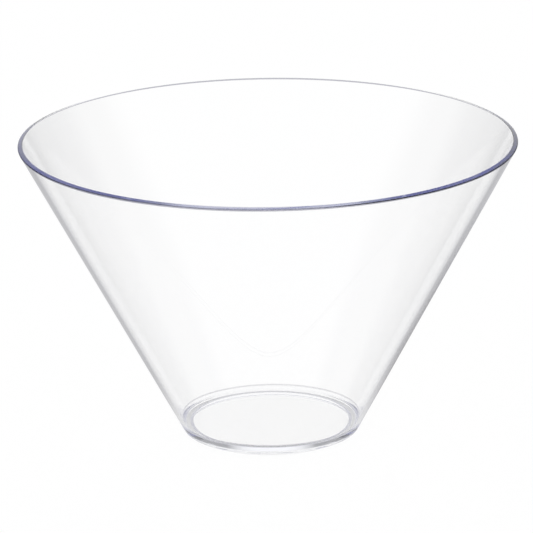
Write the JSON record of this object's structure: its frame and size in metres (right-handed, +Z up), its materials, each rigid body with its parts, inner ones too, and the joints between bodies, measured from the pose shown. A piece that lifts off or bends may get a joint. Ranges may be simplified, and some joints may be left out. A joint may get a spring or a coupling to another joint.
{
  "type": "conical bowl",
  "caption": "Clear moulded conical bowl with a straight flared wall, flat lip, flat floor and a low ring foot, for serving salad or fruit.",
  "frame": {"origin": "middle of the foot, on the surface that the bowl stands on", "axes": "+Z up along the bowl's axis; X and Y are alike because the bowl is turned about Z"},
  "size_m": [0.2794, 0.2794, 0.1708],
  "materials": {
    "clear_plastic": "polished clear moulding, colourless through the wall and blue along the edges"
  },
  "bodies": {
    "root": {"bowl_moulding": "clear_plastic"}
  },
  "joints": []
}
